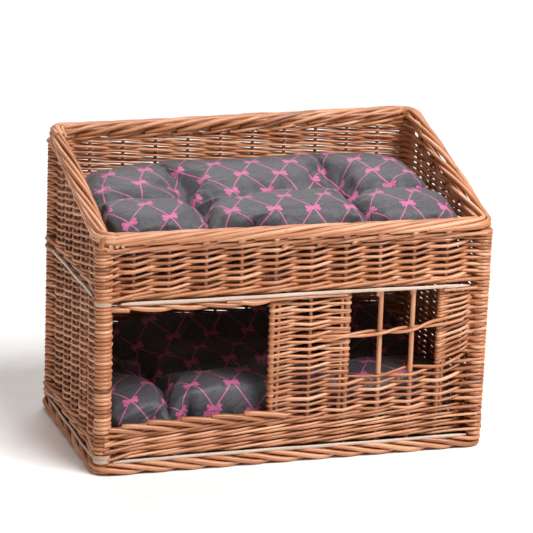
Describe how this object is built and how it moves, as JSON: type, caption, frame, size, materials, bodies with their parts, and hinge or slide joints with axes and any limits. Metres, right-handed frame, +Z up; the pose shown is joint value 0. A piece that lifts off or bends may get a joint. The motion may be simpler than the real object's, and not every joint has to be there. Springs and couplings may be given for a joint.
{
  "type": "wicker pet bed basket",
  "caption": "Two-storey willow basket for a cat or small dog: a house with a doorway and a paned window below, an open tray above, each with a padded cushion.",
  "frame": {"origin": "under the middle of the basket, on the surface that it stands on", "axes": "+X along the front from the doorway to the window, +Y from the front to the back wall, +Z up"},
  "size_m": [0.668, 0.368, 0.51],
  "materials": {
    "willow": "semi-gloss steamed willow rods",
    "peeled_willow": "matt peeled willow strip",
    "fabric": "grey woven cotton printed with pink bones and lines"
  },
  "bodies": {
    "basket": {"base_panel": "willow", "base_stick_left": "willow", "base_stick_middle": "willow", "base_stick_right": "willow", "belt_back": "willow", "belt_front": "willow", "belt_left": "willow", "belt_right": "willow", "bottom_lath_back": "peeled_willow", "bottom_lath_front": "peeled_willow", "bottom_lath_left": "peeled_willow", "bottom_lath_right": "peeled_willow", "corner_post_back_left": "willow", "corner_post_back_right": "willow", "corner_post_front_left": "willow", "corner_post_front_right": "willow", "door_head": "willow", "door_jamb_stick": "willow", "door_lintel": "willow", "door_sill_border": "willow", "foot_border_back": "willow", "foot_border_front": "willow", "foot_border_left": "willow", "foot_border_right": "willow", "front_middle_panel": "willow", "front_right_panel": "willow", "front_sill_panel": "willow", "front_window_panel": "willow", "lower_cushion": "fabric", "lower_wall_back": "willow", "lower_wall_left": "willow", "lower_wall_right": "willow", "mid_lath_back": "peeled_willow", "mid_lath_front": "peeled_willow", "mid_lath_left": "peeled_willow", "mid_lath_right": "peeled_willow", "parapet_front": "willow", "rim_back": "willow", "rim_front": "willow", "rim_left": "willow", "rim_right": "willow", "skein_wrap_belt": "peeled_willow", "skein_wrap_foot": "peeled_willow", "tray_floor": "willow", "tray_stick_left": "willow", "tray_stick_middle": "willow", "tray_stick_right": "willow", "upper_wall_back": "willow", "upper_wall_left": "willow", "upper_wall_right": "willow", "window_jamb_stick_left": "willow", "window_jamb_stick_right": "willow", "window_mullion_left": "willow", "window_mullion_right": "willow", "window_transom_rod_back": "willow", "window_transom_rod_front": "willow"},
    "upper_cushion": {"upper_cushion": "fabric"}
  },
  "joints": [
    {"name": "upper_cushion_lift", "type": "slide", "parent": "basket", "child": "upper_cushion", "axis": [0, 0, 1], "range_m": [0, 0.25]}
  ]
}
